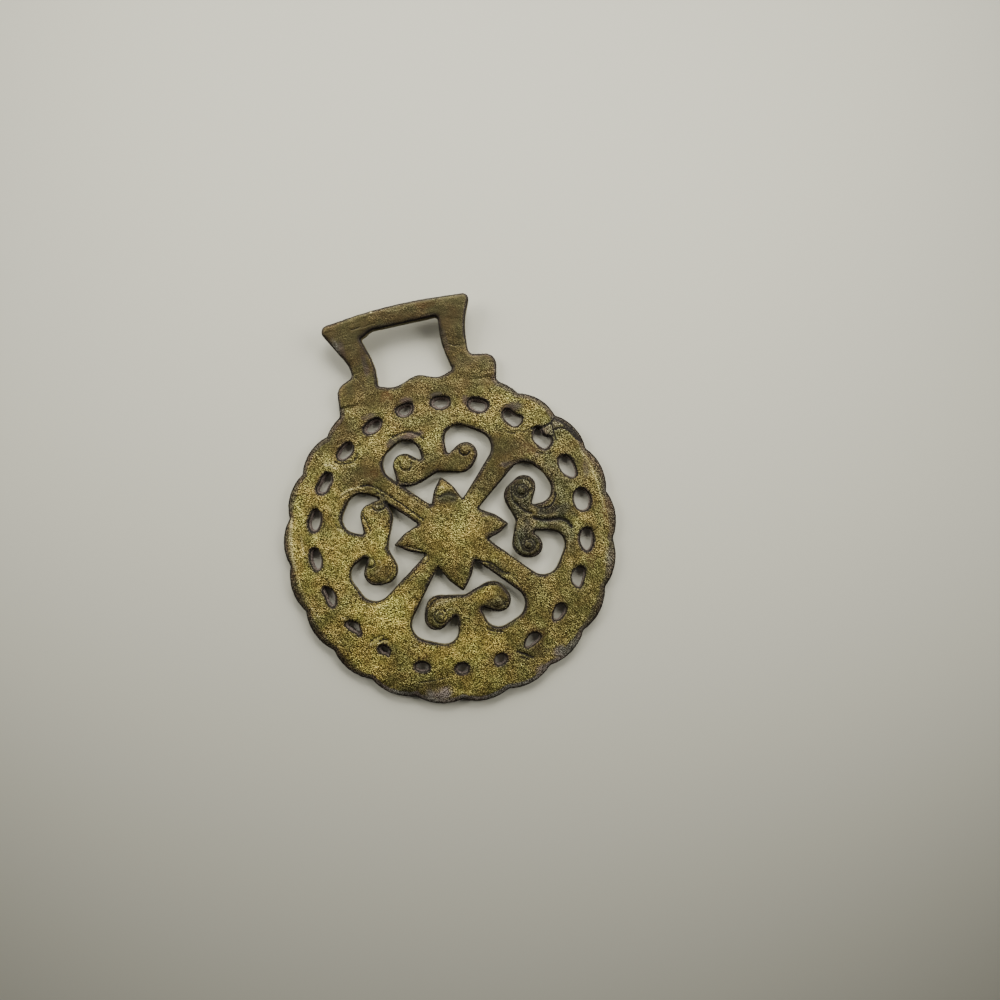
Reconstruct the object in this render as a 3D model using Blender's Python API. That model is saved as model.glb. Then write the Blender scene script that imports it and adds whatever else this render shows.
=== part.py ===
"""Horse brass: one flat casting with a scalloped rim, a ring of small holes, four pairs of curls
round a four-pointed star, and a hanger with a slot for the strap.

It lies on its underside. +Z is up, +Y points from the disc to the hanger, and the origin is on the
underside at the middle of the disc. Sizes are in metres and angles in degrees. A bearing is counted
clockwise from the hanger.
"""

import math
from collections import namedtuple

import bmesh
import bpy
from mathutils import Matrix, Vector

# The plate, and the hanger that is bent up from it and grows a little thicker towards its top.
THICKNESS = 0.0020
BEND_START = 0.0385
HANGER_TOP = 0.0568
HANGER_RISE = 0.0026
HANGER_SWELL = 0.0005
BEND_SOFTNESS = 0.5

# The rounded-over top edges, as (how far in from the wall, how far down from the face).
RIM_ROUNDING = ((0.0, 0.0005), (0.0003, 0.0002), (0.0009, 0.0))
OPENING_ROUNDING = ((0.0, 0.0004), (0.0004, 0.0))

# A size that changes round the disc: its mean, and how much larger it is at the top than at the
# bottom, at both sides than at top and bottom, and at the right than at the left.
Sweep = namedtuple("Sweep", "mean top sides right")

# The ring of small holes. Each one's bearing strays by up to a few degrees from even spacing.
HOLES = 22
HOLE_RING_RADIUS = Sweep(0.0323, 0.0005, 0.0004, 0.0)
HOLE_LENGTH = Sweep(0.0045, 0.00075, 0.00075, 0.0)
HOLE_WIDTH = Sweep(0.0029, 0.00045, 0.00025, 0.0005)
HOLE_OUTER_FLATNESS = 0.8
HOLE_OUTER_SQUARENESS = 0.6
HOLE_CORNERS = 14
FIRST_HOLE_BEARING = 8.0
HOLE_STRAY = 3.2
HOLE_STRAY_START = 17.0

# The scalloped rim, which has a notch outside each small hole and is a little flat towards the
# hanger. It runs from the middle of one scallop at the hanger's foot to the middle of another.
RIM_RADIUS = 0.0397
RIM_FLAT = 0.0014
SCALLOP_HEIGHT = 0.0011
SCALLOP_ROUNDNESS = 0.8
SCALLOP_STEPS = 8
FIRST_SCALLOP = 1
LAST_SCALLOP = 19
FIRST_NOTCH_BEARING = 7.6
NOTCH_STRAY = 3.0
NOTCH_QUICK_STRAY = 1.0
NOTCH_QUICK_STRAY_START = 10.0

# The star, which stands up from the plate as a low pyramid.
STAR_SIDE_BULGE = 0.0004
STAR_SIDE_RADIUS = 0.0040
STAR_CENTRE_RISE = 0.0005
STAR_EDGE_RISE = 0.0001
STAR_INSET = 0.0011

# The eye in the head of each curl: how wide its top is as a share of its foot, and its height.
EYE_TOP_SHARE = 0.6
EYE_RISE = 0.0003
EYE_SIDES = 12

# How deep the star and the eyes reach into the plate, to be one body with it.
CARVING_DEPTH = 0.0008

# How finely the curves are divided, in degrees and metres.
ARC_STEP = 15.0
LONGEST_SEGMENT = 0.0020
SHARPEST_MITRE = 2.0
SHARP_ANGLE = 30.0

BRASS_COLOUR = (0.30, 0.23, 0.09, 1.0)
BRASS_ROUGHNESS = 0.5

# A stop on an outline: a circle that the outline goes round. Its radius is positive where the
# outline turns left, negative where it turns right, and zero for a sharp corner.
Stop = namedtuple("Stop", "x y radius")

# A curl is half of a piercing. Its places are (across, out) from the piercing's middle line, where
# across is counted towards the curl's own side and out is away from the star.
#   notch     where the star's side meets the arm
#   flank     middle of the wide turn of the crescent, beside the arm
#   shoulder  middle of the turn at the crescent's top
#   crook     where the crescent ends, under the curl's head
#   head      middle of the curl's head
#   belly     middle of the bulge where the curl faces the star
#   eye       middle of the eye in the head, and the eye's radius
#   web       on the arm, where stray metal joins belly and arm, or None
Curl = namedtuple("Curl", "notch flank shoulder crook head belly eye web")

FLANK_RADIUS = 0.0039
SHOULDER_RADIUS = 0.0034
CROOK_RADIUS = 0.00045
HEAD_RADIUS = 0.0029
BELLY_RADIUS = 0.0036
DIP_RADIUS = 0.0006
NOTCH_RADIUS = 0.0002
WEB_WIDTH = 0.0014

# A piercing of the disc: how many quarter turns it is from the top, its two curls as seen from the
# star, the tip of the star's point, and the dip between the curls. Tip and dip are (across, out)
# too, with across counted to the right.
Piercing = namedtuple("Piercing", "quarter_turns tip left right dip")

PIERCINGS = (
    Piercing(
        quarter_turns=0,
        tip=(0.0009, 0.0147),
        left=Curl(
            notch=(0.0029, 0.0088),
            flank=(0.0083, 0.0198),
            shoulder=(0.0062, 0.0216),
            crook=(0.0031, 0.0202),
            head=(0.0070, 0.0192),
            belly=(0.0060, 0.0175),
            eye=(0.0067, 0.0192, 0.0014),
            web=(0.0092, 0.0150),
        ),
        right=Curl(
            notch=(0.0049, 0.0087),
            flank=(0.0104, 0.0198),
            shoulder=(0.0070, 0.0226),
            crook=(0.0040, 0.0203),
            head=(0.0079, 0.0188),
            belly=(0.0064, 0.0181),
            eye=(0.0080, 0.0197, 0.0013),
            web=None,
        ),
        dip=(0.0005, 0.0153),
    ),
    Piercing(
        quarter_turns=3,
        tip=(-0.0002, 0.0145),
        left=Curl(
            notch=(0.0053, 0.0084),
            flank=(0.0099, 0.0204),
            shoulder=(0.0068, 0.0229),
            crook=(0.0038, 0.0214),
            head=(0.0080, 0.0199),
            belly=(0.0062, 0.0182),
            eye=(0.0075, 0.0195, 0.0016),
            web=None,
        ),
        right=Curl(
            notch=(0.0025, 0.0091),
            flank=(0.0098, 0.0207),
            shoulder=(0.0070, 0.0232),
            crook=(0.0034, 0.0205),
            head=(0.0062, 0.0185),
            belly=(0.0053, 0.0177),
            eye=(0.0060, 0.0182, 0.0014),
            web=None,
        ),
        dip=(-0.0005, 0.0156),
    ),
    Piercing(
        quarter_turns=2,
        tip=(-0.0003, 0.0135),
        left=Curl(
            notch=(0.0047, 0.0070),
            flank=(0.0103, 0.0187),
            shoulder=(0.0074, 0.0203),
            crook=(0.0041, 0.0188),
            head=(0.0082, 0.0173),
            belly=(0.0068, 0.0160),
            eye=(0.0077, 0.0177, 0.0014),
            web=None,
        ),
        right=Curl(
            notch=(0.0045, 0.0068),
            flank=(0.0098, 0.0194),
            shoulder=(0.0062, 0.0216),
            crook=(0.0030, 0.0194),
            head=(0.0075, 0.0184),
            belly=(0.0062, 0.0166),
            eye=(0.0064, 0.0183, 0.0016),
            web=None,
        ),
        dip=(-0.0004, 0.0137),
    ),
    Piercing(
        quarter_turns=1,
        tip=(0.0010, 0.0137),
        left=Curl(
            notch=(0.0028, 0.0070),
            flank=(0.0074, 0.0202),
            shoulder=(0.0045, 0.0221),
            crook=(0.0009, 0.0212),
            head=(0.0047, 0.0194),
            belly=(0.0042, 0.0175),
            eye=(0.0023, 0.0199, 0.0009),
            web=None,
        ),
        right=Curl(
            notch=(0.0047, 0.0072),
            flank=(0.0109, 0.0193),
            shoulder=(0.0091, 0.0212),
            crook=(0.0056, 0.0206),
            head=(0.0091, 0.0173),
            belly=(0.0083, 0.0160),
            eye=(0.0100, 0.0159, 0.0010),
            web=(0.0121, 0.0141),
        ),
        dip=(0.0006, 0.0147),
    ),
)

# The hanger from its right foot on the rim round to its left one, with the metal on the left.
HANGER_OUTLINE = (
    Stop(0.0191, 0.0349, 0.0),
    Stop(0.0173, 0.0388, 0.0026),
    Stop(0.0155, 0.0433, -0.0016),
    Stop(0.0317, 0.0447, -0.0177),
    Stop(0.0154, 0.0547, 0.0013),
    Stop(0.0005, -0.0633, 0.1200),
    Stop(-0.0177, 0.0538, 0.0016),
    Stop(-0.0198, 0.0439, -0.0050),
    Stop(-0.0157, 0.0432, -0.0010),
    Stop(-0.0163, 0.0387, 0.0029),
    Stop(-0.0197, 0.0342, 0.0),
)

# The strap slot from its lower left corner round, with the opening on the left.
SLOT_OUTLINE = (
    Stop(-0.0086, 0.0395, 0.0005),
    Stop(-0.0053, 0.0432, 0.0050),
    Stop(0.0006, 0.0366, -0.0032),
    Stop(0.0056, 0.0423, 0.0040),
    Stop(0.0086, 0.0396, 0.0005),
    Stop(0.0280, 0.0468, -0.0200),
    Stop(0.0076, 0.0512, 0.0008),
    Stop(-0.0069, 0.0490, 0.0030),
    Stop(-0.0102, 0.0504, 0.0003),
    Stop(-0.0228, 0.0428, -0.0140),
)


def polar(radius, bearing):
    """The point at a radius from the disc's middle and a bearing."""
    angle = math.radians(bearing)
    return Vector((radius * math.sin(angle), radius * math.cos(angle)))


def tangent(here, there):
    """The two ends of the straight run that leaves one stop and meets the next."""
    run = Vector((there.x - here.x, there.y - here.y))
    if abs(there.radius - here.radius) > run.length:
        raise ValueError(f"no straight run leads from {here} to {there}")
    lean = math.acos((there.radius - here.radius) / run.length)
    angle = math.atan2(run.y, run.x) + lean
    normal = Vector((math.cos(angle), math.sin(angle)))
    start = Vector((here.x, here.y)) - normal * here.radius
    end = Vector((there.x, there.y)) - normal * there.radius
    return start, end


def arc(stop, start, end):
    """The points round a stop from start to end, with both ends."""
    if stop.radius == 0.0:
        return [start]
    centre = Vector((stop.x, stop.y))
    first = start - centre
    last = end - centre
    turn = math.atan2(last.y, last.x) - math.atan2(first.y, first.x)
    if stop.radius > 0.0:
        turn %= 2.0 * math.pi
    else:
        turn = -(-turn % (2.0 * math.pi))
    steps = max(1, math.ceil(abs(turn) / math.radians(ARC_STEP)))
    steps = max(steps, math.ceil(abs(turn * stop.radius) / LONGEST_SEGMENT))
    angle = math.atan2(first.y, first.x)
    points = []
    for step in range(steps + 1):
        here = angle + turn * step / steps
        offset = Vector((math.cos(here), math.sin(here))) * abs(stop.radius)
        points.append(centre + offset)
    return points


def straight(start, end):
    """The points between two ends, without them, so that no segment is too long."""
    pieces = math.ceil((end - start).length / LONGEST_SEGMENT)
    return [start.lerp(end, step / pieces) for step in range(1, pieces)]


def outline(stops, closed=True):
    """The outline that goes round each stop in turn, with straight runs between them.

    An open outline begins and ends at the middles of its first and last stops.
    """
    count = len(stops)
    runs = [tangent(stops[i], stops[(i + 1) % count]) for i in range(count if closed else count - 1)]
    points = []
    for i, stop in enumerate(stops):
        arriving = runs[i - 1][1] if closed or i > 0 else Vector((stop.x, stop.y))
        leaving = runs[i][0] if i < len(runs) else Vector((stop.x, stop.y))
        points += arc(stop, arriving, leaving)
        if i < len(runs):
            points += straight(*runs[i])
    return points


def at_bearing(size, bearing):
    """The value of a sweep at a bearing."""
    angle = math.radians(bearing)
    changed = size.mean + size.top * math.cos(angle) + size.right * math.sin(angle)
    return changed - size.sides * math.cos(2.0 * angle)


def notch_bearing(number):
    """The bearing of a notch between two scallops."""
    bearing = FIRST_NOTCH_BEARING + number * 360.0 / HOLES
    bearing -= NOTCH_STRAY * math.sin(math.radians(bearing))
    quick = math.radians(2.0 * (bearing - NOTCH_QUICK_STRAY_START))
    return bearing - NOTCH_QUICK_STRAY * math.sin(quick)


def rim_point(bearing, along):
    """A point of the rim, which is part of the way along its scallop."""
    flat = RIM_FLAT * max(0.0, math.cos(math.radians(bearing))) ** 2
    swell = math.sin(math.pi * along) ** SCALLOP_ROUNDNESS - 0.5
    return polar(RIM_RADIUS - flat + SCALLOP_HEIGHT * swell, bearing)


def rim_outline():
    """The scalloped edge, from the left foot of the hanger round below to the right one."""
    points = []
    for number in range(LAST_SCALLOP, FIRST_SCALLOP - 1, -1):
        start = notch_bearing(number + 1)
        end = notch_bearing(number)
        first_step = SCALLOP_STEPS // 2 if number == LAST_SCALLOP else 0
        last_step = SCALLOP_STEPS // 2 if number == FIRST_SCALLOP else SCALLOP_STEPS - 1
        for step in range(first_step, last_step + 1):
            along = step / SCALLOP_STEPS
            points.append(rim_point(start + (end - start) * along, along))
    return points


def hole_outline(number):
    """One of the small holes: long along the rim, and flatter and squarer on its outer side."""
    bearing = FIRST_HOLE_BEARING + number * 360.0 / HOLES
    bearing -= HOLE_STRAY * math.sin(math.radians(bearing - HOLE_STRAY_START))
    middle = polar(at_bearing(HOLE_RING_RADIUS, bearing), bearing)
    outward = polar(at_bearing(HOLE_WIDTH, bearing) / 2.0, bearing)
    sideways = polar(at_bearing(HOLE_LENGTH, bearing) / 2.0, bearing - 90.0)
    points = []
    for corner in range(HOLE_CORNERS):
        turn = 2.0 * math.pi * corner / HOLE_CORNERS
        out = -math.sin(turn)
        if out > 0.0:
            out = HOLE_OUTER_FLATNESS * out**HOLE_OUTER_SQUARENESS
        points.append(middle + sideways * math.cos(turn) + outward * out)
    return points


def place(piercing, spot, side=1):
    """Where a spot of a piercing is on the disc. On its left-hand side the side is -1."""
    turn = Matrix.Rotation(math.radians(90.0 * piercing.quarter_turns), 2)
    return turn @ Vector((side * spot[0], spot[1]))


def star_side(tip, notch, side):
    """The stop in the middle of one side of a point of the star, which bulges a little."""
    run = (notch - tip).normalized()
    outward = Vector((-run.y, run.x)) * side
    middle = tip.lerp(notch, 0.5) + outward * (STAR_SIDE_BULGE - STAR_SIDE_RADIUS)
    return Stop(*middle, -STAR_SIDE_RADIUS)


def half_piercing(piercing, curl, side):
    """The stops from the star's tip to the dip on a curl's side. Where a web shuts the crescent off,
    it is an opening of its own, and its stops come second."""
    tip = place(piercing, piercing.tip)
    notch = place(piercing, curl.notch, side)
    star = [star_side(tip, notch, side), Stop(*notch, NOTCH_RADIUS)]
    crescent = [
        Stop(*place(piercing, curl.flank, side), FLANK_RADIUS),
        Stop(*place(piercing, curl.shoulder, side), SHOULDER_RADIUS),
        Stop(*place(piercing, curl.crook, side), CROOK_RADIUS),
        Stop(*place(piercing, curl.head, side), -HEAD_RADIUS),
    ]
    belly = [Stop(*place(piercing, curl.belly, side), -BELLY_RADIUS)]
    if curl.web is None:
        return star + crescent + belly, []
    web = place(piercing, curl.web, side)
    half_width = (web - notch).normalized() * WEB_WIDTH / 2.0
    return star + [Stop(*(web - half_width), 0.0)] + belly, [Stop(*(web + half_width), 0.0)] + crescent


def piercing_outlines(piercing):
    """The outlines of one piercing, each with the opening on its left."""
    right, right_crescent = half_piercing(piercing, piercing.right, 1)
    left, left_crescent = half_piercing(piercing, piercing.left, -1)
    tip = Stop(*place(piercing, piercing.tip), 0.0)
    dip = Stop(*place(piercing, piercing.dip), DIP_RADIUS)
    openings = [[tip] + right + [dip] + left[::-1], right_crescent, left_crescent[::-1]]
    return [outline(stops) for stops in openings if stops]


def inset(points, distance):
    """A closed outline moved to its left by a distance, with its corners kept sharp."""
    moved = []
    for i, point in enumerate(points):
        before = (point - points[i - 1]).normalized()
        after = (points[(i + 1) % len(points)] - point).normalized()
        left_before = Vector((-before.y, before.x))
        left_after = Vector((-after.y, after.x))
        mean = (left_before + left_after).normalized()
        stretch = 1.0 / max(mean.dot(left_after), 1.0 / SHARPEST_MITRE)
        moved.append(point + mean * distance * stretch)
    return moved


def add_wall(mesh, points, rounding):
    """Stands a wall on an outline that has the metal on its left, and rounds it over at the top.
    Gives the edges of its bottom and its top."""
    rings = [[mesh.verts.new((*point, 0.0)) for point in points]]
    for distance, drop in rounding:
        ring = inset(points, distance)
        rings.append([mesh.verts.new((*point, THICKNESS - drop)) for point in ring])
    count = len(points)
    for lower, upper in zip(rings, rings[1:]):
        for i in range(count):
            j = (i + 1) % count
            mesh.faces.new((lower[i], upper[i], upper[j], lower[j]))
    bottom = [mesh.edges.get((rings[0][i - 1], rings[0][i])) for i in range(count)]
    top = [mesh.edges.get((rings[-1][i - 1], rings[-1][i])) for i in range(count)]
    return bottom, top


def bend_hanger(mesh):
    """Lifts the hanger, which is bent up a little from the disc that lies flat, and thickens it."""
    for vert in mesh.verts:
        along = (vert.co.y - BEND_START) / (HANGER_TOP - BEND_START)
        if along > 0.0:
            vert.co.z += HANGER_SWELL * along * vert.co.z / THICKNESS
            vert.co.z += HANGER_RISE * along * min(1.0, BEND_SOFTNESS + along)


def plate():
    """The flat casting with all its openings."""
    mesh = bmesh.new()
    walls = [(outline(HANGER_OUTLINE, closed=False) + rim_outline(), RIM_ROUNDING)]
    openings = [outline(SLOT_OUTLINE)]
    openings += [hole_outline(number) for number in range(HOLES)]
    for piercing in PIERCINGS:
        openings += piercing_outlines(piercing)
    walls += [(points[::-1], OPENING_ROUNDING) for points in openings]
    bottoms = []
    tops = []
    for points, rounding in walls:
        bottom, top = add_wall(mesh, points, rounding)
        bottoms += bottom
        tops += top
    bmesh.ops.triangle_fill(mesh, edges=bottoms, use_beauty=True, normal=(0.0, 0.0, -1.0))
    bmesh.ops.triangle_fill(mesh, edges=tops, use_beauty=True, normal=(0.0, 0.0, 1.0))
    bmesh.ops.recalc_face_normals(mesh, faces=mesh.faces)
    bend_hanger(mesh)
    return mesh


def star_corners():
    """The star's corners in turn: each tip with the notches on either side of it."""
    corners = []
    for piercing in sorted(PIERCINGS, key=lambda piercing: piercing.quarter_turns):
        corners.append(place(piercing, piercing.right.notch))
        corners.append(place(piercing, piercing.tip))
        corners.append(place(piercing, piercing.left.notch, -1))
    return corners


def add_star(mesh):
    """The star's low pyramid, with a ridge along each of its points."""
    edge = inset(star_corners(), STAR_INSET)
    low = [mesh.verts.new((*point, THICKNESS - CARVING_DEPTH)) for point in edge]
    high = [mesh.verts.new((*point, THICKNESS + STAR_EDGE_RISE)) for point in edge]
    peak = mesh.verts.new((0.0, 0.0, THICKNESS + STAR_CENTRE_RISE))
    mesh.faces.new(low[::-1])
    for i in range(len(edge)):
        j = (i + 1) % len(edge)
        mesh.faces.new((low[i], low[j], high[j], high[i]))
        mesh.faces.new((high[i], high[j], peak))


def add_eyes(mesh):
    """The low round eye in the head of each curl."""
    height = CARVING_DEPTH + EYE_RISE
    for piercing in PIERCINGS:
        for side, curl in ((1, piercing.right), (-1, piercing.left)):
            across, out, radius = curl.eye
            middle = place(piercing, (across, out), side).to_3d()
            middle.z = THICKNESS + EYE_RISE - height / 2.0
            bmesh.ops.create_cone(
                mesh,
                cap_ends=True,
                segments=EYE_SIDES,
                radius1=radius,
                radius2=radius * EYE_TOP_SHARE,
                depth=height,
                matrix=Matrix.Translation(middle),
            )


def brass():
    """Old cast brass."""
    material = bpy.data.materials.new("cast_brass")
    material.use_nodes = True
    shader = material.node_tree.nodes["Principled BSDF"]
    shader.inputs["Base Color"].default_value = BRASS_COLOUR
    shader.inputs["Roughness"].default_value = BRASS_ROUGHNESS
    shader.inputs["Metallic"].default_value = 1.0
    return material


def make_object(name, mesh):
    """An object in the scene from a bmesh."""
    data = bpy.data.meshes.new(name)
    mesh.to_mesh(data)
    mesh.free()
    made = bpy.data.objects.new(name, data)
    bpy.context.scene.collection.objects.link(made)
    return made


def main():
    """Builds the brass in an empty scene."""
    for old in list(bpy.data.objects):
        bpy.data.objects.remove(old)

    casting = make_object("horse_brass", plate())
    casting.data.materials.append(brass())
    casting.data.shade_smooth()
    casting.data.set_sharp_from_angle(angle=math.radians(SHARP_ANGLE))

    mesh = bmesh.new()
    add_star(mesh)
    add_eyes(mesh)
    carving = make_object("carving", mesh)
    carving.hide_render = True
    carving.display_type = "WIRE"

    union = casting.modifiers.new("carving", "BOOLEAN")
    union.operation = "UNION"
    union.object = carving


main()
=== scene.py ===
"""The looks of an old horse brass that lies face up on a pale table.

Everything is in metres in the part's own frame: +Z up, +Y from the disc to the hanger, and the
origin on the underside at the middle of the disc.
"""

import math
from collections import namedtuple

import bmesh
import bpy
import numpy as np
from mathutils import Euler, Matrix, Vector, noise
from mathutils.geometry import interpolate_bezier
from mathutils.kdtree import KDTree


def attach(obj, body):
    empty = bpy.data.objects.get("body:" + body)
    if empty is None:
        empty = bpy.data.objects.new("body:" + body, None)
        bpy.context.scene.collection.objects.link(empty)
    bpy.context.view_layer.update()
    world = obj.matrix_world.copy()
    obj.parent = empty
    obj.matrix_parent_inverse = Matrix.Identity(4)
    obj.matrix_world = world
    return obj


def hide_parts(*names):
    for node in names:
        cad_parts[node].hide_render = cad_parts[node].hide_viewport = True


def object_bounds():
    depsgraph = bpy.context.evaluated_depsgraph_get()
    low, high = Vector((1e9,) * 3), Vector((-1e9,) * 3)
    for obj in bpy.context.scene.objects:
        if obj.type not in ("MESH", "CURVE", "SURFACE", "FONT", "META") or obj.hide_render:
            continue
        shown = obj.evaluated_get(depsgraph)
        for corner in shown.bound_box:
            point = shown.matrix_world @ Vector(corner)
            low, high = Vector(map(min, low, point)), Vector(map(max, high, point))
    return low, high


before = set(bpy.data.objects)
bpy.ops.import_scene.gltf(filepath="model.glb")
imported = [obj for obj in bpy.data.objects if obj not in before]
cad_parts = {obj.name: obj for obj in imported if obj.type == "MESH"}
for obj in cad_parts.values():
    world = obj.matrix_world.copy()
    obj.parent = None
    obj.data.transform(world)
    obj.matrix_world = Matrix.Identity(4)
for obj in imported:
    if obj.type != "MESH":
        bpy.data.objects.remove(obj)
cad_low, cad_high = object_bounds()

# ---------------------------------------------------------------------------------------------
# The casting: one pour of brass in a sand mould, with the star, the curls and all the openings
# cast in. The plain solid gets a skin that is divided finely enough to carry the cast relief.
# ---------------------------------------------------------------------------------------------

SKIN_STEP = 0.00027
UNDERSIDE_FACING = -0.95
UNDERSIDE_KEPT = 0.05
WALLS_FACING = 0.3
WALLS_KEPT = 0.35
OUTLINE_STEP = 0.0002
LARGEST_HOLE_ROUND = 0.017
SMOOTHING_ROUNDS = 2

blank = bmesh.new()
blank.from_mesh(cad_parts["horse_brass"].data)
bmesh.ops.remove_doubles(blank, verts=blank.verts, dist=1e-6)
bmesh.ops.dissolve_degenerate(blank, edges=blank.edges, dist=1e-6)


def faces_down(face):
    """Whether a face belongs to the flat underside."""
    return face.normal.z < -0.9


def underside_loops(shape):
    """The loops of edges where the underside meets the walls of the rim and the openings."""
    border = {edge for edge in shape.edges if sum(map(faces_down, edge.link_faces)) == 1}
    loops = []
    while border:
        loop = [border.pop()]
        for edge in loop:
            joined = {near for vert in edge.verts for near in vert.link_edges} & border
            loop += sorted(joined, key=lambda near: near.index)
            border -= joined
        loops.append(loop)
    return loops


def points_along(loop):
    """Points along a loop of edges, an even short way apart, seen from above."""
    points = []
    for edge in loop:
        start, end = (vert.co.xy for vert in edge.verts)
        pieces = max(1, round((end - start).length / OUTLINE_STEP))
        points += [start.lerp(end, piece / pieces) for piece in range(pieces)]
    return points


outlines = sorted((points_along(loop) for loop in underside_loops(blank)), key=len)
rim_outline = outlines[-1]
hole_outlines = [line for line in outlines[:-1] if len(line) * OUTLINE_STEP < LARGEST_HOLE_ROUND]
opening_outlines = [line for line in outlines[:-1] if len(line) * OUTLINE_STEP >= LARGEST_HOLE_ROUND]

casting = bpy.data.objects.new("brass_casting", bpy.data.meshes.new("brass_casting"))
bpy.context.scene.collection.objects.link(casting)
blank.to_mesh(casting.data)
blank.free()


def apply_modifiers(piece):
    """Replaces a piece's mesh by what its modifiers make of it."""
    plain = piece.data
    graph = bpy.context.evaluated_depsgraph_get()
    piece.data = bpy.data.meshes.new_from_object(piece.evaluated_get(graph))
    piece.modifiers.clear()
    bpy.data.meshes.remove(plain)
    piece.data.name = piece.name


def read(data, name, width):
    """A property of each item of a mesh as rows of numbers."""
    values = np.zeros(len(data) * width)
    data.foreach_get(name, values)
    return values.reshape(-1, width)


def thin_out(piece, lowest, highest, kept):
    """Leaves a share of the triangles where a piece faces from lowest to highest, -1 being down."""
    facing = read(piece.data.vertex_normals, "vector", 3)[:, 2]
    chosen = np.flatnonzero((facing >= lowest) & (facing <= highest))
    triangles = len(piece.data.loops) - 2 * len(piece.data.polygons)
    group = piece.vertex_groups.new(name="thinned")
    group.add(chosen.tolist(), 1.0, "REPLACE")
    thinning = piece.modifiers.new("thinning", "DECIMATE")
    thinning.vertex_group = group.name
    thinning.ratio = 1.0 - 2 * len(chosen) * (1.0 - kept) / triangles
    apply_modifiers(piece)
    piece.vertex_groups.clear()


skin = casting.modifiers.new("skin", "REMESH")
skin.mode = "VOXEL"
skin.voxel_size = SKIN_STEP
apply_modifiers(casting)
thin_out(casting, -1.0, UNDERSIDE_FACING, UNDERSIDE_KEPT)
thin_out(casting, -WALLS_FACING, WALLS_FACING, WALLS_KEPT)

shape = bmesh.new()
shape.from_mesh(casting.data)
above = [vert for vert in shape.verts if vert.normal.z > UNDERSIDE_FACING]
for _ in range(SMOOTHING_ROUNDS):
    bmesh.ops.smooth_vert(shape, verts=above, factor=0.5, use_axis_x=True, use_axis_y=True, use_axis_z=True)
shape.to_mesh(casting.data)
shape.free()

# ---------------------------------------------------------------------------------------------
# The relief of the casting: a sloping scalloped rim, bevels cut along the arms, rolled borders and
# spirals on the curls, flash round the holes, and a crack. All of it was in the pattern or came
# from the mould, and the hollows hold old dirt. Places are in millimetres from the disc's middle.
# ---------------------------------------------------------------------------------------------

MM = 0.001
RIM_BORDER = 37.8 * MM
RIM_SLOPE = 0.25 * MM
RIM_SLOPE_REACH = 1.6 * MM
HANGER_FOOT = 36.0 * MM
SHOULDER = 0.16 * MM
SHOULDER_REACH = 0.45 * MM
MOULDING_IN = 0.75 * MM
MOULDING_WIDTH = 0.16 * MM
MOULDING_DEPTH = 0.07 * MM
FLASH_AWAY = 1.1 * MM
FLASH_WIDTH = 0.25 * MM
FLASH_DEPTH = 0.06 * MM
HOLE_DRAUGHT = 0.60 * MM
HOLE_LUMPS = 0.10 * MM
WALL_RAGS = 0.06 * MM
SWELLS = 0.10 * MM
LUMPS = 0.05 * MM
SAND = 0.025 * MM

spots = read(casting.data.vertices, "co", 3)
facing = read(casting.data.vertex_normals, "vector", 3)

# Where the edge of an opening strays from its plain shape: the place, how far it goes to the right
# and up, and how wide a stretch goes with it.
Stray = namedtuple("Stray", "x y right up reach")
STRAYS = (
    Stray(20.7, 25.1, 0.3, -0.4, 2.6),
    Stray(20.4, 22.6, 0.0, -0.5, 1.6),
    Stray(21.9, 26.4, -0.4, -0.5, 1.4),
    Stray(26.2, 16.2, 0.0, -0.9, 1.6),
    Stray(24.5, 18.2, -0.4, 0.0, 1.2),
    Stray(28.3, 19.9, -0.8, -0.6, 1.2),
    Stray(30.9, 10.8, 0.4, -0.2, 2.6),
    Stray(31.9, 8.1, 0.4, -0.6, 1.3),
    Stray(34.1, 2.0, 0.7, 0.0, 1.8),
    Stray(33.1, 3.9, 0.1, 0.3, 1.2),
    Stray(31.7, -7.3, 0.5, -0.2, 2.6),
    Stray(31.4, -9.9, -0.1, -0.5, 1.2),
    Stray(27.5, -17.9, 0.1, -0.5, 1.2),
    Stray(23.7, -22.1, -0.6, 0.1, 1.2),
    Stray(20.5, -24.5, -0.5, -0.5, 1.2),
    Stray(12.6, -29.1, -0.9, -0.7, 1.6),
    Stray(5.0, -31.8, 0.2, -0.6, 2.6),
    Stray(-4.6, -32.3, 0.2, -0.7, 2.6),
    Stray(-13.8, -28.9, -0.1, -0.6, 2.6),
    Stray(-23.3, -23.3, 0.6, -0.1, 1.2),
    Stray(-19.6, -24.9, -0.6, 0.4, 1.2),
    Stray(-21.6, -25.2, 0.2, 0.8, 1.2),
    Stray(-21.0, -22.3, 0.1, 0.3, 1.2),
    Stray(-27.8, -18.4, 0.6, 0.4, 1.2),
    Stray(-26.3, -15.6, 0.5, 0.3, 1.5),
    Stray(-29.0, -17.2, 0.4, 0.1, 1.5),
    Stray(-33.2, -7.4, 0.4, -0.1, 1.6),
    Stray(-30.0, -6.9, 0.3, 0.0, 1.2),
    Stray(-34.8, 1.7, -0.4, 0.1, 1.5),
    Stray(-33.4, 10.8, -0.5, 0.1, 1.5),
    Stray(-28.4, 18.0, -0.4, 0.0, 1.4),
    Stray(-25.7, 18.1, -0.3, 0.1, 1.2),
    Stray(-1.9, 31.8, -0.5, 0.1, 1.9),
    Stray(5.0, 32.0, -0.3, 0.1, 2.6),
    Stray(13.5, 29.5, 0.3, -0.1, 2.6),
    Stray(25.7, 10.6, 0.35, 0.45, 1.5),
)


def strayed(points):
    """Points seen from above, moved as the edges stray."""
    points = np.array(points)
    moved = points.copy()
    for stray in STRAYS:
        away = np.hypot(points[:, 0] / MM - stray.x, points[:, 1] / MM - stray.y) / stray.reach
        moved += np.exp(-(away ** 2))[:, None] * np.array((stray.right, stray.up)) * MM
    return moved


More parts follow.
